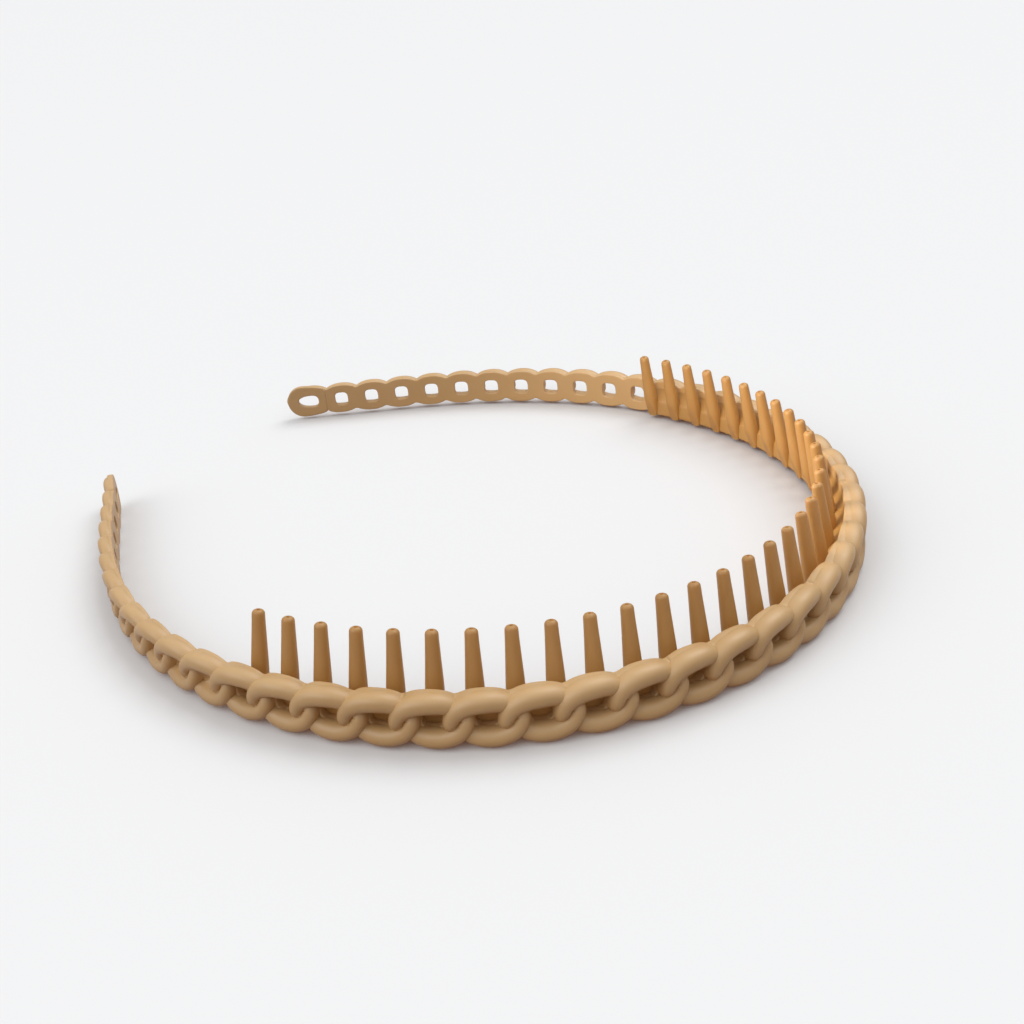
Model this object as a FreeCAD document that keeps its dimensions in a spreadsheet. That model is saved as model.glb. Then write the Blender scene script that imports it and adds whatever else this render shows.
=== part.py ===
import FreeCAD, Part
import math
import os
import Sketcher

# Chain-relief plastic headband with a hair comb along its crown.
# Millimetres. The band lies on its lower edge: +Z runs across the band's
# width towards the tips of the comb teeth, the crown points to -Y, the two
# arms run towards +Y and the plane X = 0 halves the band.

doc = FreeCAD.newDocument("headband")
V = FreeCAD.Vector

# ---------------------------------------------------------------- dimensions
sheet = doc.addObject("Spreadsheet::Sheet", "Sizes")
DIMS = [
    # comb
    ("tooth_pitch", 5.9), ("comb_shift", 0.95), ("tooth_root_radius", 1.5), ("tooth_tip_radius", 1.0),
    ("tooth_tip_round", 0.6), ("tooth_tip_height", 10.8), ("tooth_tip_inset", 4.28),
    ("tooth_foot_height", -3.5), ("tooth_foot_inset", 1.56), ("tooth_side_lean", 0.4),
    ("strip_thickness", 1.9), ("strip_bottom", -3.4), ("strip_tall", 5.3),
    # chain
    ("comb_link_pitch", 7.4), ("arm_link_pitch", 7.165),
    ("band_width_crown", 8.73), ("band_width_end", 7.6),
    ("relief_depth_crown", 3.85), ("relief_depth_end", 2.4),
    ("strand_radius", 1.6), ("strand_bulge", 0.75), ("strand_tilt", 0.25),
    ("crossing_radius", 1.3), ("web_share", 0.45),
    ("hole_long", 2.95), ("hole_tall", 2.95), ("hole_corner", 0.8),
    # end links
    ("end_link_long", 9.4), ("end_hole_long", 4.8), ("end_hole_tall", 3.2),
    ("end_edge_round", 0.9),
    # curve of the band: curvature against arc length, even powers
    ("bend_reach", 177.0), ("bend_0", 0.0165825), ("bend_2", -0.0132375),
    ("bend_4", 0.0269037), ("bend_6", -0.0345269),
    # clearance at each flexing section, per side
    ("flex_clearance", 0.15),
    # the middle of the crown's back face stands this far behind the origin
    ("crown_offset", 69.5977),
]
for n, (name, value) in enumerate(DIMS):
    sheet.set("A%d" % (n + 1), name)
    sheet.set("B%d" % (n + 1), str(value))
    sheet.setAlias("B%d" % (n + 1), name)
doc.recompute()
D = {name: float(sheet.get(name)) for name, _ in DIMS}

N_COMB = 13      # links 0..13 each side of the middle are backed by the comb
N_LAST = 25      # the end link of each arm
HINGES = (3, 7, 14)          # a flexing section lies before each of these links


# --------------------------------------------------------------- the path
# The back of the chain follows a polygon of one chord per link.  Vertex n
# lies between link n - 1 and link n; the two sides mirror each other.
def bend(s):
    x = (min(s, D["bend_reach"]) / D["bend_reach"]) ** 2
    return D["bend_0"] + D["bend_2"] * x + D["bend_4"] * x ** 2 + D["bend_6"] * x ** 3


def pitch(n):
    return D["comb_link_pitch"] if n <= N_COMB else D["arm_link_pitch"]


vert_s, vert_p, vert_turn, vert_head = {}, {}, {}, {}
s, x, y, head = pitch(0) / 2.0, pitch(0) / 2.0, 0.0, 0.0
for n in range(1, N_LAST + 1):
    vert_s[n], vert_p[n] = s, (x, y)
    vert_turn[n] = bend(s) * (pitch(n - 1) + pitch(n)) / 2.0
    head += vert_turn[n]
    vert_head[n] = head                      # heading of link n
    x += pitch(n) * math.cos(head)
    y += pitch(n) * math.sin(head)
    s += pitch(n)


def along(s):
    """Point and heading of the chord polygon at arc length s (signed)."""
    a = abs(s)
    if a <= vert_s[1]:
        return (s, 0.0, 0.0)
    n = max(k for k in vert_s if vert_s[k] <= a)
    px, py = vert_p[n]
    h = vert_head[n]
    d = a - vert_s[n]
    px, py = px + d * math.cos(h), py + d * math.sin(h)
    return (px, py, h) if s > 0 else (-px, py, -h)


def link_frame(i):
    """Centre and heading of link i's chord, and the turn at each end."""
    n = abs(i)
    if n == 0:
        return 0.0, 0.0, 0.0, vert_turn[1], vert_turn[1]
    px, py = vert_p[n]
    h = vert_head[n]
    cx = px + pitch(n) / 2.0 * math.cos(h)
    cy = py + pitch(n) / 2.0 * math.sin(h)
    near = vert_turn[n]
    far = vert_turn.get(n + 1, 0.0)
    if n + 1 == N_LAST:
        far *= 2.0                   # the end link starts square to its own chord
    if i > 0:
        return cx, cy, h, near, far
    return -cx, cy, -h, far, near


def width_at(s):
    return D["band_width_crown"] + (D["band_width_end"] - D["band_width_crown"]) * (s / D["bend_reach"]) ** 2


def depth_at(s):
    return D["relief_depth_crown"] + (D["relief_depth_end"] - D["relief_depth_crown"]) * (s / D["bend_reach"]) ** 2


def place(cx, cy, h):
    """From a point and heading of the path to the finished part's frame."""
    return FreeCAD.Placement(V(cx, cy - D["crown_offset"], D["band_width_crown"] / 2.0),
                             FreeCAD.Rotation(V(0, 0, 1), math.degrees(h)))


# --------------------------------------------------------------- chain links
# Link frame: x along the band, y towards the head, z across the width.
def strand(q, up, r, mid_z, bulge, y_mid, tilt):
    """One side strand of a link: a bulged round bar, an arc of a torus."""
    half = q / 2.0
    big = (half * half + bulge * bulge) / (2.0 * bulge)
    ang = math.degrees(math.asin(min(0.98, (half + 1.6) / big)))
    ring = Part.makeTorus(big, r, V(0, 0, 0), V(0, 0, 1), -180, 180, 2 * ang)
    ring.rotate(V(0, 0, 0), V(0, 0, 1), 90 - ang)           # arc centred on +y
    ring.rotate(V(0, 0, 0), V(1, 0, 0), 90)                 # arc centred on +z
    if not up:
        ring.rotate(V(0, 0, 0), V(1, 0, 0), 180)
    ring.translate(V(0, 0, (mid_z - big) if up else (big - mid_z)))
    # the upper strand leans out of the relief at its left end, the lower one
    # at its right end, as the strands of a curb chain do
    ring.rotate(V(0, 0, 0), V(0, 0, 1), math.degrees(math.atan2(tilt, half)) * (1 if up else -1))
    ring.translate(V(0, y_mid, 0))
    return ring


def slot_prism(long, tall, corner, y0, y1):
    a, b, c = long / 2.0, tall / 2.0, corner
    k = c * (1.0 - math.sqrt(0.5))
    pts = [(a, -b + c), (a, b - c), (a - k, b - k), (a - c, b), (-a + c, b), (-a + k, b - k),
           (-a, b - c), (-a, -b + c), (-a + k, -b + k), (-a + c, -b), (a - c, -b), (a - k, -b + k)]
    P = [V(px, y0, pz) for px, pz in pts]
    edges = [Part.LineSegment(P[0], P[1]).toShape(), Part.Arc(P[1], P[2], P[3]).toShape(),
             Part.LineSegment(P[3], P[4]).toShape(), Part.Arc(P[4], P[5], P[6]).toShape(),
             Part.LineSegment(P[6], P[7]).toShape(), Part.Arc(P[7], P[8], P[9]).toShape(),
             Part.LineSegment(P[9], P[10]).toShape(), Part.Arc(P[10], P[11], P[0]).toShape()]
    return Part.Face(Part.Wire(edges)).extrude(V(0, y1 - y0, 0))


def link_solid(i):
    n = abs(i)
    cx, cy, h, turn_l, turn_r = link_frame(i)
    q = pitch(n)
    sm = 0.0 if n == 0 else vert_s[n] + q / 2.0
    W, T = width_at(sm), depth_at(sm)
    k = W / D["band_width_crown"]
    kt = T / D["relief_depth_crown"]
    r = D["strand_radius"] * kt
    bulge, tilt = D["strand_bulge"] * k, D["strand_tilt"] * kt
    mid_z = W / 2.0 - r
    y_mid = -T + r + tilt
    web = D["web_share"] * T
    # back web with scalloped edges
    zb, zm = W / 2.0 - 1.05, W / 2.0 - 0.6
    e = q / 2.0 + 1.2
    y0 = -web
    def p(px, pz):
        return V(px, y0, pz)
    wire = Part.Wire([
        Part.LineSegment(p(-e, zb), p(-q / 2.0, zb)).toShape(),
        Part.Arc(p(-q / 2.0, zb), p(0, zm), p(q / 2.0, zb)).toShape(),
        Part.LineSegment(p(q / 2.0, zb), p(e, zb)).toShape(),
        Part.LineSegment(p(e, zb), p(e, -zb)).toShape(),
        Part.LineSegment(p(e, -zb), p(q / 2.0, -zb)).toShape(),
        Part.Arc(p(q / 2.0, -zb), p(0, -zm), p(-q / 2.0, -zb)).toShape(),
        Part.LineSegment(p(-q / 2.0, -zb), p(-e, -zb)).toShape(),
        Part.LineSegment(p(-e, -zb), p(-e, zb)).toShape()])
    plate = Part.Face(wire).extrude(V(0, web, 0))
    up = strand(q, True, r, mid_z, bulge, y_mid, tilt)
    low = strand(q, False, r, mid_z, bulge, y_mid, tilt)
    cr = D["crossing_radius"] * kt
    bars = []
    for side in (-1, 1):
        a = V(side * q / 2.0 - 0.9, y_mid + 0.2, -(mid_z - bulge))
        b = V(side * q / 2.0 + 0.9, y_mid + 0.2, mid_z - bulge)
        bars.append(Part.makeCylinder(cr, (b - a).Length, a, b - a))
    hole = slot_prism(D["hole_long"] * k, D["hole_tall"] * k, D["hole_corner"] * k, -T - 2, 2)
    # radial end faces, shared with the neighbours
    c_l = D["flex_clearance"] if (i in HINGES or -(i - 1) in HINGES) else 0.0
    c_r = D["flex_clearance"] if (i + 1 in HINGES or -i in HINGES) else 0.0
    yo, yi = -T - 1.5, 1.0
    tl, tr = math.tan(turn_l / 2.0), math.tan(turn_r / 2.0)
    ring = [V(-q / 2.0 + yo * tl + c_l, yo, -12), V(q / 2.0 - yo * tr - c_r, yo, -12),
            V(q / 2.0 - yi * tr - c_r, yi, -12), V(-q / 2.0 + yi * tl + c_l, yi, -12)]
    cell = Part.Face(Part.makePolygon(ring + [ring[0]])).extrude(V(0, 0, 24))
    body = plate.cut(hole).common(cell)
    for piece in (up, low, bars[0], bars[1]):
        trimmed = piece.common(cell)
        before = body.Volume
        body = body.fuse(trimmed)
        if body.Volume < before - 0.01 or not body.isValid():
            raise RuntimeError("link %d lost volume" % i)
    solids = sorted(body.Solids, key=lambda so: -so.Volume)
    if len(solids) > 1 and solids[1].Volume > 1.0:
        raise RuntimeError("link %d is in pieces: %s" % (i, [(so.Volume, so.BoundBox) for so in solids]))
    out = solids[0].removeSplitter()
    out.Placement = place(cx, cy, h).multiply(out.Placement)
    return out


nodes = []                     # the exported sub-parts, in order


def feature(name, shape):
    o = doc.addObject("Part::Feature", name)
    o.Shape = shape
    o.Label = name
    nodes.append(o)
    return o


groups = [("crown_links", range(-2, 3))]
for side, sg in (("left", -1), ("right", 1)):
    groups.append((side + "_shoulder_links", [sg * i for i in range(3, 7)]))
    groups.append((side + "_side_links", [sg * i for i in range(7, 14)]))
    groups.append((side + "_arm_links", [sg * i for i in range(14, N_LAST)]))
for name, ids in groups:
    feature(name, Part.makeCompound([link_solid(i) for i in ids]))


# --------------------------------------------------------------- end links
# The last link of each arm is a rounded flat pad with one long hole.
def end_body(name, sg):
    n = N_LAST
    sm = vert_s[n]
    W, T = width_at(sm), depth_at(sm)
    body = doc.addObject("PartDesign::Body", name)
    body.Label = name
    plane = [f for f in body.Origin.OriginFeatures if f.Role == "XZ_Plane"][0]
    sk = body.newObject("Sketcher::SketchObject", name + "_outline")
    sk.AttachmentSupport = [(plane, "")]
    sk.MapMode = "FlatFace"
    L = D["end_link_long"]
    zb = W / 2.0 - 0.55
    hz = W / 2.0
    tip = hz * 0.98
    A, B = V(0, zb, 0), V(L - tip, hz, 0)
    mid = V((L - tip) * 0.45, hz - 0.08, 0)
    C, E, F = V(L, 0, 0), V(L - tip, -hz, 0), V(0, -zb, 0)
    mid2 = V((L - tip) * 0.45, -hz + 0.08, 0)
    sk.addGeometry(Part.Arc(A, mid, B))
    sk.addGeometry(Part.Arc(B, C, E))
    sk.addGeometry(Part.Arc(E, mid2, F))
    sk.addGeometry(Part.LineSegment(F, A))
    doc.recompute()
    pad = body.newObject("PartDesign::Pad", name + "_pad")
    pad.Profile = sk
    pad.setExpression("Length", "Sizes.relief_depth_end")
    pad.Reversed = False
    doc.recompute()
    hole = body.newObject("Sketcher::SketchObject", name + "_hole_outline")
    hole.AttachmentSupport = [(plane, "")]
    hole.MapMode = "FlatFace"
    hl, ht = D["end_hole_long"], D["end_hole_tall"]
    x0 = 1.9
    ra, rb = ht * 0.5, ht * 0.36
    P1, P2, P3 = V(x0 + ra, ra, 0), V(x0, 0, 0), V(x0 + ra, -ra, 0)
    P4, P5, P6 = V(x0 + hl - rb, -rb, 0), V(x0 + hl, 0, 0), V(x0 + hl - rb, rb, 0)
    hole.addGeometry(Part.Arc(P1, P2, P3))
    hole.addGeometry(Part.LineSegment(P3, P4))
    hole.addGeometry(Part.Arc(P4, P5, P6))
    hole.addGeometry(Part.LineSegment(P6, P1))
    doc.recompute()
    pocket = body.newObject("PartDesign::Pocket", name + "_hole")
    pocket.Profile = hole
    pocket.Type = "ThroughAll"
    pocket.Midplane = True
    body.Tip = pocket
    doc.recompute()
    # round the outer rim of the pad
    shape = pocket.Shape
    outer = min(shape.BoundBox.YMin, 0.0)
    rim = []
    for k, e in enumerate(shape.Edges):
        bb = e.BoundBox
        flat = abs(bb.YMin - outer) < 1e-4 and abs(bb.YMax - outer) < 1e-4
        seam = bb.XMax < 1e-4
        inside = bb.XMin > x0 - 0.1 and bb.XMax < x0 + hl + 0.1 and bb.ZMax < ht / 2 + 0.1 and bb.ZMin > -ht / 2 - 0.1
        if flat and not seam and not inside:
            rim.append("Edge%d" % (k + 1))
    fil = body.newObject("PartDesign::Fillet", name + "_rim")
    fil.Base = (pocket, rim)
    fil.setExpression("Radius", "Sizes.end_edge_round")
    body.Tip = fil
    doc.recompute()
    px, py = vert_p[n]
    h = vert_head[n]
    if sg > 0:
        body.Placement = place(px, py, h)
    else:
        body.Placement = place(-px, py, -h).multiply(
            FreeCAD.Placement(V(0, 0, 0), FreeCAD.Rotation(V(0, 1, 0), 180)))
    nodes.append(body)
    return body


end_left = end_body("left_end_link", -1)
end_right = end_body("right_end_link", 1)


# --------------------------------------------------------------- comb strips
# A thin strip behind the chain carries the teeth.  It is split where the band
# flexes, so each length of it turns with its own links.
def offset_vertex(i_vertex, d):
    """Vertex of the path (signed index) moved d towards the head."""
    n = abs(i_vertex)
    px, py = vert_p[n]
    b = vert_head[n] - vert_turn[n] / 2.0
    d = d / math.cos(vert_turn[n] / 2.0)
    qx, qy = px - d * math.sin(b), py + d * math.cos(b)
    return (qx, qy) if i_vertex > 0 else (-qx, qy)


def strip(name, verts, clear_first, clear_last):
    def line(d):
        pts = [offset_vertex(v, d) for v in verts]
        out = [V(a, b, 0) for a, b in pts]
        for end, other, c in ((0, 1, clear_first), (-1, -2, clear_last)):
            u = (out[other] - out[end]).normalize()
            out[end] = out[end] + u * c
        return out
    back, front = line(0.0), line(D["strip_thickness"])
    loop = back + front[::-1] + [back[0]]
    o = doc.addObject("Part::Feature", name + "_outline")
    o.Shape = Part.Face(Part.makePolygon(loop))
    e = doc.addObject("Part::Extrusion", name)
    e.Base = o
    e.DirMode = "Custom"
    e.Dir = V(0, 0, 1)
    e.Solid = True
    e.setExpression("LengthFwd", "Sizes.strip_tall")
    e.setExpression("Placement.Base.y", "-Sizes.crown_offset")
    e.setExpression("Placement.Base.z", "Sizes.strip_bottom + Sizes.band_width_crown / 2")
    e.Label = name
    nodes.append(e)
    return e


c = D["flex_clearance"]
strips = {"crown": strip("crown_comb_strip", [-3, -2, -1, 1, 2, 3], c, c)}
for side, sg in (("left", -1), ("right", 1)):
    strips[side + "_shoulder"] = strip(side + "_shoulder_comb_strip", [sg * v for v in range(3, 8)], c, c)
    strips[side + "_side"] = strip(side + "_side_comb_strip", [sg * v for v in range(7, 15)], c, c)
doc.recompute()


# --------------------------------------------------------------- comb teeth
# Each tooth is a tapered rod that runs up the strip as a rib and stands out
# past the band's upper edge, leaning towards the head.
def tooth(name, k, strip_obj, next_strip):
    s = k * D["tooth_pitch"] + D["comb_shift"]
    px, py, h = along(s)
    foot = V(0, D["tooth_foot_inset"], D["tooth_foot_height"])
    top = V(D["tooth_side_lean"], D["tooth_tip_inset"], D["tooth_tip_height"])
    axis = top - foot
    cone = doc.addObject("Part::Cone", name + "_rod")
    cone.setExpression("Radius1", "Sizes.tooth_root_radius")
    cone.setExpression("Radius2", "Sizes.tooth_tip_radius")
    cone.Height = axis.Length
    cone.setExpression("Height", "sqrt((Sizes.tooth_tip_inset - Sizes.tooth_foot_inset)^2 + "
                       "(Sizes.tooth_tip_height - Sizes.tooth_foot_height)^2 + Sizes.tooth_side_lean^2)")
    cone.Placement = place(px, py, h).multiply(
        FreeCAD.Placement(foot, FreeCAD.Rotation(V(0, 0, 1), axis)))
    doc.recompute([cone])
    tip = [j for j, e in enumerate(cone.Shape.Edges)
           if isinstance(e.Curve, Part.Circle) and abs(e.Curve.Radius - D["tooth_tip_radius"]) < 1e-6][0]
    fil = doc.addObject("Part::Fillet", name + "_round")
    fil.Base = cone
    fil.Edges = [(tip + 1, D["tooth_tip_round"], D["tooth_tip_round"])]
    cut = doc.addObject("Part::Cut", name)
    cut.Base = fil
    cut.Tool = strip_obj
    if next_strip is None:
        return cut
    # a foot that reaches past a flexing section stops at the next strip
    clear = doc.addObject("Part::Cut", name + "_clear")
    clear.Base = cut
    clear.Tool = next_strip
    return clear


def teeth(name, ks, strip_obj, past=None):
    rods = [tooth("%s_%02d" % (name, j + 1), k, strip_obj, past if j == 0 else None)
            for j, k in enumerate(ks)]
    group = doc.addObject("Part::Compound", name)
    group.Links = rods
    group.Label = name
    nodes.append(group)
    return group


teeth("crown_comb_teeth", [-2.5, -1.5, -0.5, 0.5, 1.5, 2.5], strips["crown"])
for side, sg in (("left", -1), ("right", 1)):
    teeth(side + "_shoulder_comb_teeth", [sg * (j + 0.5) for j in range(3, 8)], strips[side + "_shoulder"],
          strips["crown"] if sg < 0 else None)
    teeth(side + "_side_comb_teeth", [sg * (j + 0.5) for j in range(8, 17)], strips[side + "_side"],
          strips["left_shoulder"] if sg < 0 else None)
doc.recompute()

# --------------------------------------------------------------- checks
for o in doc.Objects:
    if "Invalid" in o.State or "Error" in o.State:
        raise RuntimeError("%s is %s" % (o.Name, o.State))
for o in nodes:
    if o.Shape.isNull() or not o.Shape.isValid():
        raise RuntimeError("%s has a bad shape" % o.Label)

# --------------------------------------------------------------- origin
# The origin is the middle of the whole band's box in X and Y, on its underside.
box = Part.makeCompound([o.Shape for o in nodes]).optimalBoundingBox(True, False)
print("box", box)
if max(abs(box.XMin + box.XMax), abs(box.YMin + box.YMax), abs(box.ZMin)) > 0.02:
    raise RuntimeError("the origin is off the middle of the underside")

os.makedirs("parts", exist_ok=True)
for o in nodes:
    o.Shape.exportStep("parts/%s.step" % o.Label)
    print(o.Label, len(o.Shape.Solids), "solids", round(o.Shape.Volume, 2), "mm3")
for n in HINGES:
    px, py = vert_p[n]
    b = vert_head[n] - vert_turn[n] / 2.0
    depth = depth_at(vert_s[n])
    print("flexing section before link", n, "pivot", round(px + depth * math.sin(b), 4),
          round(py - depth * math.cos(b) - D["crown_offset"], 4))
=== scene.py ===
import math

import bmesh
import bpy
import numpy as np
from mathutils import Matrix, Vector


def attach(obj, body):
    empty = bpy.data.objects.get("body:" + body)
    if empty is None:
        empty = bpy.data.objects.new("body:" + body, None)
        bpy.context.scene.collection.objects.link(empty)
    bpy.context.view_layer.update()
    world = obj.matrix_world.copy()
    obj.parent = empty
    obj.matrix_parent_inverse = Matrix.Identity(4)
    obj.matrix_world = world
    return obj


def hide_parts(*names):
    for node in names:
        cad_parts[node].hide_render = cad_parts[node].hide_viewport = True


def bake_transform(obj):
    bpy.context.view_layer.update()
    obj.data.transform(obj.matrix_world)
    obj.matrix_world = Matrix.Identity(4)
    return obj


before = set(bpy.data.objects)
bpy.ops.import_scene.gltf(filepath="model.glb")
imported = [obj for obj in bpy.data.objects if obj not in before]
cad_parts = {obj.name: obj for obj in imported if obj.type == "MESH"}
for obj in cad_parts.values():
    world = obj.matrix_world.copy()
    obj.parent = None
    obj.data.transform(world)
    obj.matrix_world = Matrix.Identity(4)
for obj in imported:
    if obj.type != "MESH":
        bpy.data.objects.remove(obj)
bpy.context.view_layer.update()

MM = 0.001

# ------------------------------------------------------------------ the path
# The back face of the chain follows this curve; the numbers repeat the sheet
# of the solid model.  Arc length s in mm, 0 at the middle of the crown.
REACH, BEND = 177.0, (0.0165825, -0.0132375, 0.0269037, -0.0345269)
Q_COMB, Q_ARM = 7.4, 7.165
N_COMB, N_LAST = 13, 25
CROWN_Y = -69.5977
MID_Z = 8.73 / 2.0
TOOTH = 5.9
COMB_SHIFT = 0.95
S_COMB = Q_COMB * (N_COMB + 0.5)          # end of the comb, 99.9 mm
END_LONG = 9.4

_ds = 0.05
_s = np.arange(0.0, 200.0, _ds)
_x2 = (np.minimum(_s, REACH) / REACH) ** 2
_k = BEND[0] + BEND[1] * _x2 + BEND[2] * _x2 ** 2 + BEND[3] * _x2 ** 3
_th = np.concatenate([[0.0], np.cumsum((_k[1:] + _k[:-1]) / 2 * _ds)])
_cx = np.concatenate([[0.0], np.cumsum((np.cos(_th[1:]) + np.cos(_th[:-1])) / 2 * _ds)])
_cy = np.concatenate([[0.0], np.cumsum((np.sin(_th[1:]) + np.sin(_th[:-1])) / 2 * _ds)]) - 0.05


def path(s):
    s = np.asarray(s, float)
    a = np.abs(s)
    sg = np.where(s < 0, -1.0, 1.0)
    return (np.interp(a, _s, _cx) * sg, np.interp(a, _s, _cy) + CROWN_Y,
            np.interp(a, _s, _th) * sg)


def bent(co):
    """Band space (s along, d outward from the back of the chain, w across) to metres."""
    co = np.asarray(co, float)
    x, y, th = path(co[:, 0])
    return np.stack([x + np.sin(th) * co[:, 1], y - np.cos(th) * co[:, 1],
                     co[:, 2] + MID_Z], 1) * MM


def width_at(s):
    return 8.73 + (7.6 - 8.73) * (s / REACH) ** 2


def depth_at(s):
    return 3.85 + (2.4 - 3.85) * (s / REACH) ** 2


def link_centre(i):
    n = abs(i)
    if n == 0:
        return 0.0, Q_COMB
    if n <= N_COMB:
        c, q = n * Q_COMB, Q_COMB
    else:
        c, q = S_COMB + (n - N_COMB - 0.5) * Q_ARM, Q_ARM
    return (c if i > 0 else -c), q


# ------------------------------------------------------------------ helpers
def make(name, verts, faces, smooth=True):
    me = bpy.data.meshes.new(name)
    me.from_pydata([tuple(v) for v in verts], [], faces)
    me.validate()
    bm = bmesh.new()
    bm.from_mesh(me)
    bmesh.ops.recalc_face_normals(bm, faces=bm.faces)
    bm.to_mesh(me)
    bm.free()
    ob = bpy.data.objects.new(name, me)
    bpy.context.scene.collection.objects.link(ob)
    if smooth:
        me.polygons.foreach_set("use_smooth", [True] * len(me.polygons))
    return ob


def sharpen(ob, angle=35.0):
    me = ob.data
    bm = bmesh.new()
    bm.from_mesh(me)
    lim = math.radians(angle)
    for e in bm.edges:
        if len(e.link_faces) == 2 and e.calc_face_angle(0.0) > lim:
            e.smooth = False
    bm.to_mesh(me)
    bm.free()


class Geo:
    """Vertices and faces gathered into one mesh."""

    def __init__(self):
        self.v, self.f, self.n = [], [], 0

    def add(self, verts, faces):
        self.v.append(np.asarray(verts, float))
        self.f += [tuple(i + self.n for i in f) for f in faces]
        self.n += len(verts)

    def make(self, name):
        return make(name, np.concatenate(self.v), self.f)


def grid_faces(nu, nv, close_u=False, close_v=False):
    out = []
    for i in range(nu if close_u else nu - 1):
        for j in range(nv if close_v else nv - 1):
            a, b = i, (i + 1) % nu
            c, d = j, (j + 1) % nv
            out.append((a * nv + c, b * nv + c, b * nv + d, a * nv + d))
    return out


def spow(v, e):
    return np.sign(v) * np.abs(v) ** e


# ------------------------------------------------------------------ chain ring
# One curb link: a closed oval bar.  Its upper left and lower right stand out
# as rounded lips, its upper right and lower left dip under the next link.
# Control points of the upper half, from the left end to the right end:
# along (in pitches), across (mm), depth of the middle (mm), radius (mm).
CENTRE = [(-0.640, -0.35, 1.85, 1.22), (-0.605, 0.80, 2.05, 1.28), (-0.480, 1.95, 2.10, 1.42),
          (-0.250, 2.72, 2.08, 1.50), (0.020, 2.88, 1.95, 1.50), (0.250, 2.58, 1.62, 1.46),
          (0.430, 1.85, 1.30, 1.38), (0.580, 1.00, 1.38, 1.24)]
RV = 1.72


def closed_curve(P, n):
    """Centripetal-ish closed spline through P, n points spaced evenly."""
    P = np.asarray(P, float)
    m = len(P)
    out = []
    for i in range(m):
        p0, p1, p2, p3 = P[i - 1], P[i], P[(i + 1) % m], P[(i + 2) % m]
        for u in np.linspace(0, 1, 24, endpoint=False):
            out.append(0.5 * (2 * p1 + (p2 - p0) * u + (2 * p0 - 5 * p1 + 4 * p2 - p3) * u ** 2
                              + (3 * p1 - p0 - 3 * p2 + p3) * u ** 3))
    out = np.array(out)
    for _ in range(14):
        out = (np.roll(out, 1, 0) + 2 * out + np.roll(out, -1, 0)) / 4
    d = np.linalg.norm((np.roll(out, -1, 0) - out)[:, :3], axis=1)
    s = np.concatenate([[0.0], np.cumsum(d)])
    g = np.linspace(0, s[-1], n, endpoint=False)
    ext = np.vstack([out, out[:1]])
    return np.column_stack([np.interp(g, s, ext[:, k]) for k in range(out.shape[1])])


def ring_curve(i):
    sc, q = link_centre(i)
    W, T = width_at(sc), depth_at(sc)
    kw = W / 8.73
    kt = T / 3.85
    up = [(x * q, w * kw, d * kt, r) for x, w, d, r in CENTRE]
    low = [(-x * q, -w * kw, d * kt, r * 0.97) for x, w, d, r in CENTRE]
    # the relief is quieter towards the arm tips
    calm = min(1.0, max(0.0, (abs(sc) - 118.0) / 40.0)) * 0.38
    flat = lambda d: d + (1.80 * kt - d) * calm
    slim = 1.0 - 0.04 * min(1.0, max(0.0, (abs(sc) - 88.0) / 20.0))
    up = [(x, w, flat(d), r * slim) for x, w, d, r in up]
    low = [(x, w, flat(d), r * slim) for x, w, d, r in low]
    rows = up + low
    if abs(i) == N_LAST:
        # the last link runs on to the round tip and lies flat there
        sg = 1.0 if i > 0 else -1.0
        s0 = S_COMB + (N_LAST - N_COMB - 1) * Q_ARM
        tip = s0 + END_LONG - 1.15 * kt
        rows = []
        for x, w, d, r in up + low:
            o = max(0.0, sg * x)
            far = min(1.0, o / (0.64 * q))
            xx = x if sg * x <= 0 else sg * far * (tip - abs(sc))
            rows.append((xx, w, d * (1 - far) + 1.62 * kt * far, r))
    # the bar is as thick as the width and the depth together allow
    kr = 0.5 * kw + 0.5 * kt
    return sc, kt, closed_curve([(x, w, d, r * kr) for x, w, d, r in rows], 112)


def ring_geo(i):
    sc, kt, C = ring_curve(i)
    nt, ns = len(C), 28
    x, w, d, ru = C.T
    tx, tw = np.roll(x, -1) - np.roll(x, 1), np.roll(w, -1) - np.roll(w, 1)
    L = np.hypot(tx, tw)
    ux, uw = -tw / L, tx / L                      # in-plane normal
    rv = RV * kt * (0.80 + 0.20 * np.minimum(1.0, ru / (1.5 * (0.4 + 0.6 * kt))))
    p = np.linspace(0, 2 * np.pi, ns, endpoint=False)
    cu, sv = spow(np.cos(p), 0.92), spow(np.sin(p), 0.92)
    back = np.sin(p) < 0
    cu[back] = spow(np.cos(p[back]), 0.70)
    sv[back] = spow(np.sin(p[back]), 0.85)
    X = x[:, None] + ux[:, None] * ru[:, None] * cu[None, :]
    Wd = w[:, None] + uw[:, None] * ru[:, None] * cu[None, :]
    Dd = d[:, None] + rv[:, None] * sv[None, :]
    Dd = np.maximum(Dd, 0.14)
    pts = np.stack([X + sc, Dd, Wd], 2).reshape(-1, 3)
    return pts, grid_faces(nt, ns, True, True)


def ring_reach(ids):
    """Upper edge of the chain against arc length, from the links' outlines."""
    s = np.arange(-190.0, 190.0, 0.05)
    top = np.zeros_like(s)
    for i in ids:
        sc, kt, C = ring_curve(i)
        x, w, d, ru = C.T
        tx, tw = np.roll(x, -1) - np.roll(x, 1), np.roll(w, -1) - np.roll(w, 1)
        L = np.hypot(tx, tw)
        for sg in (1, -1):
            ox, ow = x - sg * tw / L * ru, w + sg * tx / L * ru
            k = np.round((ox + sc + 190.0) / 0.05).astype(int)
            k = np.clip(k, 0, len(s) - 1)
            for a in range(len(k)):
                b = (a + 1) % len(k)
                lo, hi = sorted((k[a], k[b]))
                if hi - lo > 60:
                    continue
                top[lo:hi + 1] = np.maximum(top[lo:hi + 1], max(ow[a], ow[b]))
    return s, top


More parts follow.
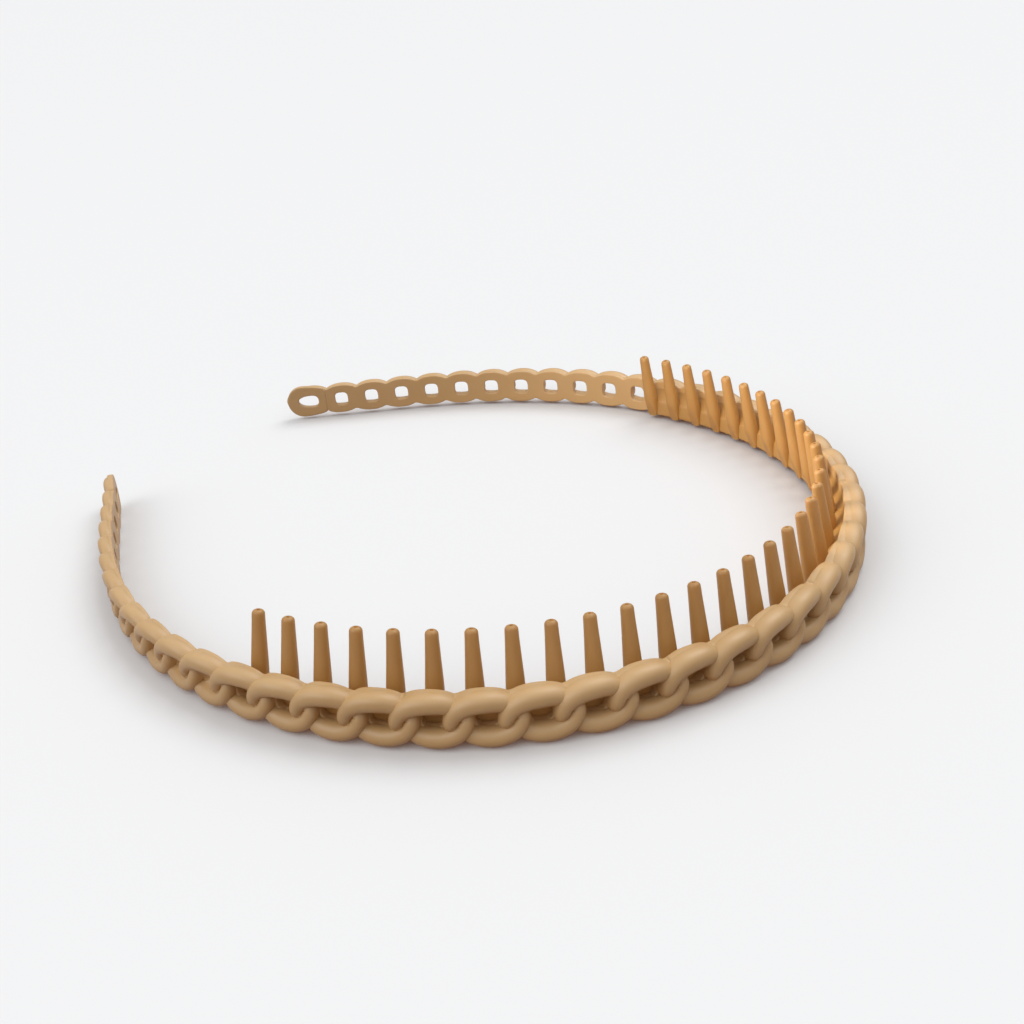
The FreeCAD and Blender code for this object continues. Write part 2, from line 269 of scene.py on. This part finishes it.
ALL_IDS = list(range(-N_LAST, N_LAST + 1))
_rs, _rt = ring_reach(ALL_IDS)


def edge_top(s):
    return np.interp(s, _rs, _rt)


def edge_low(s):
    return -np.interp(-np.asarray(s), _rs, _rt)


# ------------------------------------------------------------------ web
# The flat back of the chain: a scalloped plate with one rounded square hole
# in each link.  Built flat in band space from a ring of quads per link.
def web_cells(ids, s_lo=None, s_hi=None):
    bm = bmesh.new()
    NS = 14                                    # steps per side of the hole
    rings = 7

    def outline(i, kk):
        """hole point and cell point for step kk of 4*NS"""
        sc, q = link_centre(i)
        W = width_at(sc)
        k = W / 8.73
        half = 2.95 * k / 2.0
        side, f = divmod(kk, NS)
        f = f / NS * 2 - 1                       # -1..1 along the side
        # superellipse hole
        ang = {0: -math.pi / 4, 1: math.pi / 4, 2: 3 * math.pi / 4, 3: 5 * math.pi / 4}[side]
        th = ang + (f + 1) / 2 * math.pi / 2
        e = 0.62
        arm = min(1.0, max(0.0, (abs(sc) - 88.0) / 14.0))
        hx = half * (1.05 + 0.12 * arm) * math.copysign(abs(math.cos(th)) ** e, math.cos(th))
        hz = half * (1.06 + 0.14 * arm) * math.copysign(abs(math.sin(th)) ** e, math.sin(th))
        ins = 0.22
        top = lambda x: float(edge_top(x)) - ins
        low = lambda x: float(edge_low(x)) + ins
        if side in (0, 2):
            ox = q / 2.0 if side == 0 else -q / 2.0
            g = f if side == 0 else -f
            hi, lo = top(sc + ox), low(sc + ox)
            oz = (hi + lo) / 2 + g * (hi - lo) / 2
        else:
            ox = -f * q / 2.0 if side == 1 else f * q / 2.0
            oz = top(sc + ox) if side == 1 else low(sc + ox)
        return hx, hz, ox, oz

    for i in ids:
        sc, q = link_centre(i)
        loops = []
        for r in range(rings + 1):
            g = r / rings
            g = g ** 1.15
            loop = []
            for kk in range(4 * NS):
                hx, hz, ox, oz = outline(i, kk)
                loop.append(bm.verts.new((sc + hx + (ox - hx) * g, 0.0, hz + (oz - hz) * g)))
            loops.append(loop)
        for r in range(rings):
            for kk in range(4 * NS):
                k2 = (kk + 1) % (4 * NS)
                bm.faces.new((loops[r][kk], loops[r][k2], loops[r + 1][k2], loops[r + 1][kk]))
    bmesh.ops.remove_doubles(bm, verts=bm.verts, dist=0.02)
    return bm


def thicken(bm, name, thick_of, round_mm=0.28, cuts=()):
    """Solid plate from the flat sheet, edges rounded, still in band space.
    cuts: arc lengths where one piece meets the next, left square."""
    bmesh.ops.recalc_face_normals(bm, faces=bm.faces)
    top = list(bm.faces)
    ret = bmesh.ops.duplicate(bm, geom=list(bm.verts) + list(bm.edges) + list(bm.faces))
    vmap = ret["vert_map"]
    dup = {v: vmap[v] for v in vmap if v in vmap}
    border = [e for e in bm.edges if len(e.link_faces) == 1]
    orig_v = set()
    for f in top:
        orig_v.update(f.verts)
    for v in orig_v:
        w = vmap[v]
        w.co.y = thick_of(w.co.x)
    for e in border:
        a, b = e.verts
        if a in orig_v and b in orig_v:
            bm.faces.new((a, b, vmap[b], vmap[a]))
    bmesh.ops.recalc_face_normals(bm, faces=bm.faces)
    at_cut = lambda v: any(abs(v.co.x - c) < 0.03 for c in cuts)
    rim = [e for e in bm.edges if len(e.link_faces) == 2 and e.calc_face_angle(0.0) > 1.0
           and not (at_cut(e.verts[0]) and at_cut(e.verts[1]))]
    bmesh.ops.bevel(bm, geom=rim, offset=round_mm, offset_type="OFFSET", segments=3,
                    profile=0.5, affect="EDGES", clamp_overlap=True)
    me = bpy.data.meshes.new(name)
    bm.to_mesh(me)
    bm.free()
    ob = bpy.data.objects.new(name, me)
    bpy.context.scene.collection.objects.link(ob)
    me.polygons.foreach_set("use_smooth", [True] * len(me.polygons))
    return ob


def bend_object(ob):
    me = ob.data
    co = np.empty(len(me.vertices) * 3)
    me.vertices.foreach_get("co", co)
    me.vertices.foreach_set("co", bent(co.reshape(-1, 3)).ravel())
    # band space (arc length, depth, width) is left-handed, so the faces turn round
    me.flip_normals()
    me.update()
    return ob


# ------------------------------------------------------------------ end pad web
def end_pad(sg):
    """Rounded pad with a teardrop hole, a ring of quads in band space."""
    s0 = S_COMB + (N_LAST - N_COMB - 1) * Q_ARM
    W = width_at(s0)
    zb, hz = W / 2.0 - 1.0, W / 2.0 - 0.1
    L = END_LONG - 0.1
    n = 48
    bm = bmesh.new()
    loops = []
    tip = hz
    hole_c = 1.9 + 4.8 / 2.0
    for r in range(8):
        g = (r / 7.0) ** 1.1
        loop = []
        for k in range(n):
            a = 2 * math.pi * k / n
            ca, sa = math.cos(a), math.sin(a)
            # hole: rounder towards the arm, narrower towards the tip
            hl = 4.8 / 2.0
            ht = (3.3 / 2.0) * (0.82 - 0.18 * ca)
            hx = hole_c + hl * math.copysign(abs(ca) ** 0.8, ca)
            hy = ht * math.copysign(abs(sa) ** 0.8, sa)
            # outer outline: ray from the hole's middle to the pad's edge
            ex = None
            lo, hi = 0.0, 20.0
            for _ in range(40):
                m = (lo + hi) / 2
                px, pz = hole_c + ca * m, sa * m
                if px < 0 or px > L:
                    inside = False
                elif px > L - tip:
                    inside = ((px - (L - tip)) / tip) ** 2 + (pz / hz) ** 2 < 1
                else:
                    edge = zb + (hz - zb) * math.sin(min(1.0, px / (L - tip)) * math.pi / 2) ** 0.7
                    inside = abs(pz) < edge
                if inside:
                    lo = m
                else:
                    hi = m
            ox, oz = hole_c + ca * lo, sa * lo
            loop.append(bm.verts.new((sg * (s0 + hx + (ox - hx) * g), 0.0, hy + (oz - hy) * g)))
        loops.append(loop)
    for r in range(7):
        for k in range(n):
            k2 = (k + 1) % n
            bm.faces.new((loops[r][k], loops[r][k2], loops[r + 1][k2], loops[r + 1][k]))
    return bm


# ------------------------------------------------------------------ comb
def strip_geo(geo, s_lo, s_hi):
    # the strip thins out smoothly to nothing just below the chain's edge
    w0, w1, r = -3.4, 2.25, 0.45
    prof = [(-0.02, w1), (0.0, w1 - 0.25)]
    prof += [(0.0, w) for w in np.linspace(w1 - 0.8, w0 + r, 7)]
    for k in range(5):
        a = math.radians(360 - 90 * k / 4.0)
        prof.append((-r + r * math.cos(a), w0 + r + r * math.sin(a)))
    for k in range(5):
        a = math.radians(270 - 90 * k / 4.0)
        prof.append((-1.9 + r + r * math.cos(a), w0 + r + r * math.sin(a)))
    for w in np.linspace(w0 + r + 0.5, -0.6, 5):
        prof.append((-1.9, w))
    for u in np.linspace(0.08, 0.97, 12):
        f = u * u * (3 - 2 * u)
        prof.append((-1.9 * (1 - f) - 0.06 * f, -0.6 + (w1 + 0.6) * u))
    prof = np.array(prof)
    n = max(2, int(abs(s_hi - s_lo) / 0.9) + 1)
    ss = np.linspace(s_lo, s_hi, n)
    ends = S_COMB - np.abs(ss)
    shrink = np.clip(ends / 2.2, 0, 1) ** 0.5      # rounded off at the comb's ends
    rows = []
    for s, e in zip(ss, shrink):
        dd = prof[:, 0] * (0.15 + 0.85 * e)
        ww = (prof[:, 1] - 0.0) * (0.72 + 0.28 * e)
        rows.append(np.column_stack([np.full(len(prof), s), dd, ww]))
    pts = np.concatenate(rows)
    faces = grid_faces(n, len(prof), False, True)
    m = len(prof)
    faces.append(tuple(range(m))[::-1])
    faces.append(tuple(range((n - 1) * m, n * m)))
    geo.add(bent(pts), faces)


def tooth_geo(geo, s):
    ns = 28
    foot = np.array([0.0, -1.56, -3.45])
    top = np.array([0.40, -4.28, 10.8])
    ax = top - foot
    L = np.linalg.norm(ax)
    ax /= L
    prof = []                                     # (height along axis, radius)
    r_of = lambda h: 1.45 + (0.95 - 1.45) * (h / L) ** 0.9
    for h in (0.0, 0.12, 0.4):
        prof.append((h, r_of(h) - 0.35 * (1 - h / 0.4)))
    for h in np.linspace(1.0, L - 1.0, 18):
        prof.append((h, r_of(h)))
    rt = r_of(L)
    cr = 0.66                                     # round shoulder
    for k in range(1, 9):
        a = math.radians(90 * k / 8)
        prof.append((L - cr + cr * math.sin(a), rt + 0.02 - cr * (1 - math.cos(a))))
    rr = prof[-1][1]
    # small moulded pit in the tip
    prof += [(L - 0.02, rr - 0.03), (L - 0.22, rr - 0.08), (L - 0.44, rr * 0.55), (L - 0.50, 0.0)]
    u = np.cross(ax, [1.0, 0.0, 0.0])
    u /= np.linalg.norm(u)
    v = np.cross(ax, u)
    pts = []
    for h, r in prof[:-1]:
        for k in range(ns):
            a = 2 * math.pi * k / ns
            pts.append(foot + ax * h + (u * math.cos(a) + v * math.sin(a)) * r)
    pts = np.array(pts)
    # a little wider along the band towards the root, then slim where it sinks into the strip
    low = np.clip((1.5 - pts[:, 2]) / 4.5, 0, 1)
    pts[:, 0] *= 1.0 + 0.12 * np.clip((9.0 - pts[:, 2]) / 6.0, 0, 1) - 0.34 * low * low * (3 - 2 * low)
    faces = grid_faces(len(prof) - 1, ns, False, True)
    pts = np.vstack([pts, foot[None, :], (foot + ax * prof[-1][0])[None, :]])
    # the rib sinks into the strip towards the band's lower edge
    g = np.clip((pts[:, 2] + 3.5) / 4.6, 0, 1)
    lim = 1.98 + 1.87 * g
    deep = np.maximum(-pts[:, 1] - lim, 0.0)
    pts[:, 1] += deep * (1 - np.clip((pts[:, 2] - 0.8) / 1.2, 0, 1)) * 0.96
    pts[:, 1] = np.minimum(pts[:, 1], -0.05)
    ia, ib = len(pts) - 2, len(pts) - 1
    last = (len(prof) - 2) * ns
    for k in range(ns):
        k2 = (k + 1) % ns
        faces.append((k2, k, ia))
        faces.append((last + k, last + k2, ib))
    x, y, th = path(np.array([s]))
    c, sn = math.cos(th[0]), math.sin(th[0])
    X = x[0] + c * pts[:, 0] + sn * pts[:, 1]
    Y = y[0] + sn * pts[:, 0] - c * pts[:, 1]
    geo.add(np.stack([X, Y, pts[:, 2] + MID_Z], 1) * MM, faces)


# ------------------------------------------------------------------ materials
def lin(r, g, b):
    f = lambda v: (v / 255 / 12.92) if v / 255 <= 0.04045 else ((v / 255 + 0.055) / 1.055) ** 2.4
    return (f(r), f(g), f(b), 1.0)


def plastic(name, light, dark, rough, sss, sss_rgb, glow=0.0, glow_rgb=(0.9, 0.45, 0.12, 1), bump=0.06,
            grain=2600.0):
    mat = bpy.data.materials.new(name)
    mat.use_nodes = True
    nt = mat.node_tree
    nt.nodes.clear()
    out = nt.nodes.new("ShaderNodeOutputMaterial")
    bsdf = nt.nodes.new("ShaderNodeBsdfPrincipled")
    if glow > 0:
        # thin plastic lets some warm light through
        tr = nt.nodes.new("ShaderNodeBsdfTranslucent")
        tr.inputs["Color"].default_value = glow_rgb
        mix = nt.nodes.new("ShaderNodeMixShader")
        mix.inputs["Fac"].default_value = glow
        nt.links.new(bsdf.outputs["BSDF"], mix.inputs[1])
        nt.links.new(tr.outputs["BSDF"], mix.inputs[2])
        nt.links.new(mix.outputs["Shader"], out.inputs["Surface"])
    else:
        nt.links.new(bsdf.outputs["BSDF"], out.inputs["Surface"])
    tc = nt.nodes.new("ShaderNodeTexCoord")
    # slow cloudy variation of the pigment
    n1 = nt.nodes.new("ShaderNodeTexNoise")
    n1.inputs["Scale"].default_value = 55.0
    n1.inputs["Detail"].default_value = 3.0
    nt.links.new(tc.outputs["Object"], n1.inputs["Vector"])
    ramp = nt.nodes.new("ShaderNodeValToRGB")
    ramp.color_ramp.elements[0].position = 0.32
    ramp.color_ramp.elements[0].color = dark
    ramp.color_ramp.elements[1].position = 0.68
    ramp.color_ramp.elements[1].color = light
    nt.links.new(n1.outputs["Fac"], ramp.inputs["Fac"])
    nt.links.new(ramp.outputs["Color"], bsdf.inputs["Base Color"])
    # fine moulded texture
    n2 = nt.nodes.new("ShaderNodeTexNoise")
    n2.inputs["Scale"].default_value = grain
    n2.inputs["Detail"].default_value = 4.0
    nt.links.new(tc.outputs["Object"], n2.inputs["Vector"])
    bp = nt.nodes.new("ShaderNodeBump")
    bp.inputs["Strength"].default_value = bump
    bp.inputs["Distance"].default_value = 0.0001
    nt.links.new(n2.outputs["Fac"], bp.inputs["Height"])
    nt.links.new(bp.outputs["Normal"], bsdf.inputs["Normal"])
    rr = nt.nodes.new("ShaderNodeMapRange")
    rr.inputs["To Min"].default_value = rough - 0.05
    rr.inputs["To Max"].default_value = rough + 0.07
    nt.links.new(n1.outputs["Fac"], rr.inputs["Value"])
    nt.links.new(rr.outputs["Result"], bsdf.inputs["Roughness"])
    bsdf.inputs["Subsurface Weight"].default_value = sss
    bsdf.inputs["Subsurface Radius"].default_value = sss_rgb
    bsdf.inputs["Subsurface Scale"].default_value = 0.001
    bsdf.inputs["IOR"].default_value = 1.48
    bsdf.inputs["Specular IOR Level"].default_value = 0.8
    return mat


CHAIN = plastic("chain_plastic_look", lin(200, 163, 113), lin(192, 154, 103), 0.45, 0.12, (0.9, 0.4, 0.12))
COMB = plastic("comb_plastic_look", lin(196, 153, 92), lin(187, 143, 81), 0.44, 0.20, (1.6, 0.6, 0.12), 0.25,
               (0.88, 0.56, 0.20, 1))


def dress(ob, mat):
    ob.data.materials.clear()
    ob.data.materials.append(mat)


# link ids and comb spans of each piece, on one side
SPANS = {
    1: (0, 4),          # links 0..4 (crown to shoulder)
    2: (5, 9),          # links 5..9 (shoulder to side)
    3: (10, 18),        # links 10..18 (side to arm)
    4: (19, 25),        # the rest of the arm, rigid
}


def half_gap(i):
    return i


nodes_of = {
    1: ["crown_links"],
}
made = []
for side, sg in (("left", -1), ("right", 1)):
    for part in (1, 2, 3, 4):
        lo, hi = SPANS[part]
        ids = [sg * i for i in range(lo, hi + 1)]
        if part == 1 and sg < 0:
            ids = [i for i in ids if i != 0]
        name = "%s_%s" % (side, {1: "crown", 2: "shoulder", 3: "side", 4: "arm"}[part])
        # rings
        g = Geo()
        for i in ids:
            v, f = ring_geo(i)
            g.add(bent(v), f)
        rings = g.make(name + "_chain")
        # web
        web_ids = [i for i in ids if abs(i) != N_LAST]
        bm = web_cells(web_ids)
        ends = [link_centre(i)[0] + e * link_centre(i)[1] / 2 for i in (web_ids[0], web_ids[-1]) for e in (-1, 1)]
        web = thicken(bm, name + "_web", lambda s: 0.40 * depth_at(s), 0.28, (min(ends), max(ends)))
        sharpen(web, 50)
        bend_object(web)
        obs = [rings, web]
        mats = [CHAIN, CHAIN]
        if part == 4:
            pad = thicken(end_pad(sg), name + "_pad", lambda s: 0.55 * depth_at(s), 0.35, (max(ends, key=abs),))
            bend_object(pad)
            obs.append(pad)
            mats.append(CHAIN)
        # comb
        if part < 4:
            s_of = lambda i: link_centre(i)[0]
            first = 0.0 if part == 1 else (lo - 0.5) * Q_COMB
            last = min((hi + 0.5) * Q_COMB, S_COMB)
            g = Geo()
            strip_geo(g, *sorted((sg * first, sg * last)))
            strip_ob = g.make(name + "_strip")
            sharpen(strip_ob, 60)
            g = Geo()
            ks = [k + 0.5 for k in range(17) if first <= (k + 0.5) * TOOTH < last]
            for k in ks:
                tooth_geo(g, sg * k * TOOTH + COMB_SHIFT)
            teeth_ob = g.make(name + "_teeth")
            sharpen(teeth_ob, 40)
            obs += [strip_ob, teeth_ob]
            mats += [COMB, COMB]
        for ob, mat in zip(obs, mats):
            dress(ob, mat)
            if part < 4:
                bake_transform(ob)
            else:
                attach(ob, side + "_arm")
            made.append((side, part, ob))


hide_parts("crown_links")
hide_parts("crown_comb_strip")
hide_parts("crown_comb_teeth")
for side in ("left", "right"):
    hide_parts(side + "_shoulder_links")
    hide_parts(side + "_shoulder_comb_strip")
    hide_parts(side + "_shoulder_comb_teeth")
    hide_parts(side + "_side_links")
    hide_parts(side + "_side_comb_strip")
    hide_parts(side + "_side_comb_teeth")
    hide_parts(side + "_arm_links")
    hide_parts(side + "_end_link")

# ------------------------------------------------------------------ stage
scene = bpy.context.scene
scene.view_settings.view_transform = "Standard"
scene.view_settings.look = "None"

bpy.ops.mesh.primitive_plane_add(size=60.0, location=(0, 0, 0))
floor = bpy.context.active_object
floor.name = "floor"
fmat = bpy.data.materials.new("floor_look")
fmat.use_nodes = True
fb = fmat.node_tree.nodes["Principled BSDF"]
fb.inputs["Base Color"].default_value = (0.775, 0.775, 0.775, 1)
fb.inputs["Roughness"].default_value = 0.9
fb.inputs["Specular IOR Level"].default_value = 0.1
floor.data.materials.append(fmat)
# the floor shows and takes shadows, but throws little light up at the band
floor.visible_diffuse = False

world = bpy.data.worlds.new("studio")
world.use_nodes = True
wt = world.node_tree
bg = wt.nodes["Background"]
bg.inputs["Color"].default_value = (0.97, 0.98, 1.0, 1)
wc = wt.nodes.new("ShaderNodeTexCoord")
ws = wt.nodes.new("ShaderNodeSeparateXYZ")
wm = wt.nodes.new("ShaderNodeMapRange")
wm.inputs["From Min"].default_value = -0.05
wm.inputs["From Max"].default_value = 0.75
wm.inputs["To Min"].default_value = 0.22
wm.inputs["To Max"].default_value = 0.85
wt.links.new(wc.outputs["Generated"], ws.inputs["Vector"])
wt.links.new(ws.outputs["Z"], wm.inputs["Value"])
wt.links.new(wm.outputs["Result"], bg.inputs["Strength"])
# from below only a dim warm light, as between a tan band and the table
wr = wt.nodes.new("ShaderNodeMapRange")
wr.inputs["From Min"].default_value = -0.12
wr.inputs["From Max"].default_value = 0.06
wt.links.new(ws.outputs["Z"], wr.inputs["Value"])
wc2 = wt.nodes.new("ShaderNodeValToRGB")
wc2.color_ramp.elements[0].color = (0.95, 0.42, 0.11, 1)
wc2.color_ramp.elements[1].color = (0.97, 0.98, 1.0, 1)
wt.links.new(wr.outputs["Result"], wc2.inputs["Fac"])
wt.links.new(wc2.outputs["Color"], bg.inputs["Color"])
bpy.context.scene.world = world

cam_right = Vector((0.57988, -0.81021, -0.08543))
cam_up = Vector((0.40580, 0.19632, 0.89263))
cam_fwd = Vector((0.70644, 0.55228, -0.44263))


def sun(name, towards, strength, angle, color=(1, 1, 1)):
    """A broad soft light from the given direction."""
    li = bpy.data.lights.new(name, "SUN")
    li.energy = strength
    li.angle = math.radians(angle)
    li.color = color
    ob = bpy.data.objects.new(name, li)
    bpy.context.scene.collection.objects.link(ob)
    ob.rotation_euler = (-Vector(towards)).to_track_quat("-Z", "Y").to_euler()
    return ob


ahead = Vector((0.7878, 0.6159, 0.0))
side_r = Vector((0.6159, -0.7878, 0.0))
# key light from high up behind the band as seen, a little to the right
sun("key", side_r * 0.45 + ahead * 0.45 + Vector((0, 0, 1)), 1.10, 40.0, (1.0, 0.99, 0.97))
# weak light from the left of the view
sun("fill", -side_r * 0.9 - ahead * 0.45 + Vector((0, 0, 0.75)), 0.85, 50.0, (0.97, 0.985, 1.0))

# a small card of light inside the band, for the inner faces of the far side
card = bpy.data.lights.new("card", "AREA")
card.shape = "DISK"
card.size = 0.04
card.energy = 0.029
card.color = (1.0, 0.88, 0.70)
card_ob = bpy.data.objects.new("card", card)
bpy.context.scene.collection.objects.link(card_ob)
card_ob.location = (0.004, -0.030, 0.025)
card_ob.rotation_euler = (Vector((0.055, -0.010, -0.018))).to_track_quat("-Z", "Y").to_euler()
card_ob.visible_camera = False
# it lights the band only, not the floor
band_lit = bpy.data.collections.new("band_lit")
for _side, _part, ob in made:
    band_lit.objects.link(ob)
card_ob.light_linking.receiver_collection = band_lit

cam = bpy.data.cameras.new("camera")
cam.sensor_width = 36.0
cam.lens = 41.025
cam.clip_start = 0.01
cam.clip_end = 20.0
cam_ob = bpy.data.objects.new("camera", cam)
bpy.context.scene.collection.objects.link(cam_ob)
m = Matrix((cam_right.normalized(), cam_up.normalized(), (-cam_fwd).normalized())).transposed().to_4x4()
m.translation = Vector((-0.150945, -0.129387, 0.099748))
cam_ob.matrix_world = m
bpy.context.scene.camera = cam_ob
